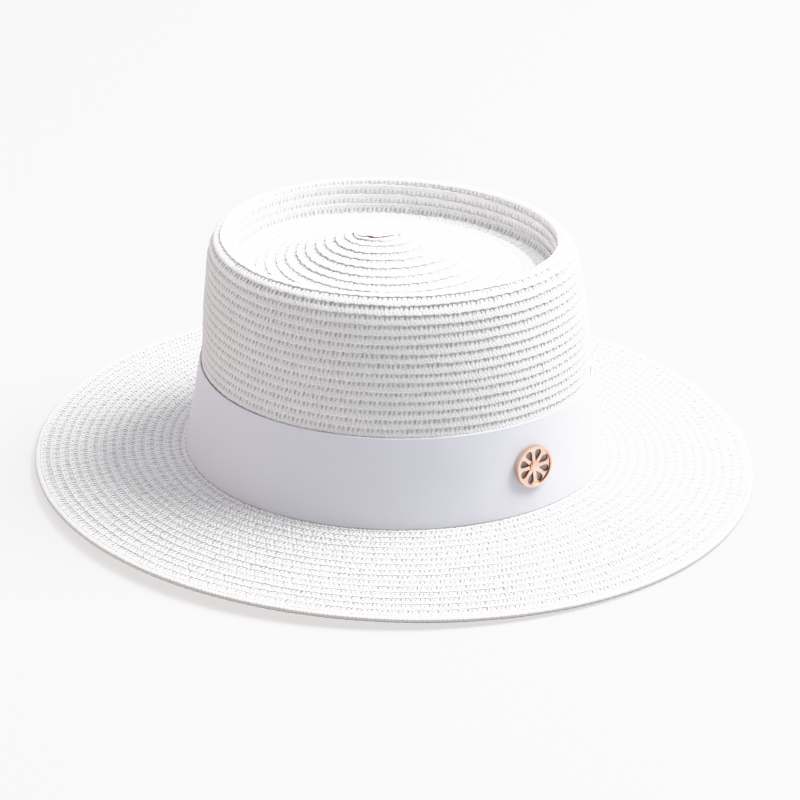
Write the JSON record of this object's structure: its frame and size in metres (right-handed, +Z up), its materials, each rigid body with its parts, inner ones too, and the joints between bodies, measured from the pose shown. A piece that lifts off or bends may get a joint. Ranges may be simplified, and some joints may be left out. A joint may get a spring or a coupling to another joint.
{
  "type": "sewn straw hat with recessed crown",
  "caption": "White sewn-straw hat with a wide, slightly warped brim, straight crown with a recessed top and raised tip, wide plain ribbon and a small round pierced badge.",
  "frame": {"origin": "on the surface that the hat rests on, under the middle of its brim", "axes": "+Z up; +X along the head oval's long axis, towards its narrower front end"},
  "size_m": [0.344, 0.3154, 0.1179],
  "materials": {
    "straw": "plaited paper straw, matt",
    "ribbon": "smooth close-woven ribbon, soft sheen",
    "badge_metal": "polished rose gold plating"
  },
  "bodies": {
    "root": {"crown": "straw", "brim": "straw", "hat_band": "ribbon", "badge": "badge_metal"}
  },
  "joints": []
}
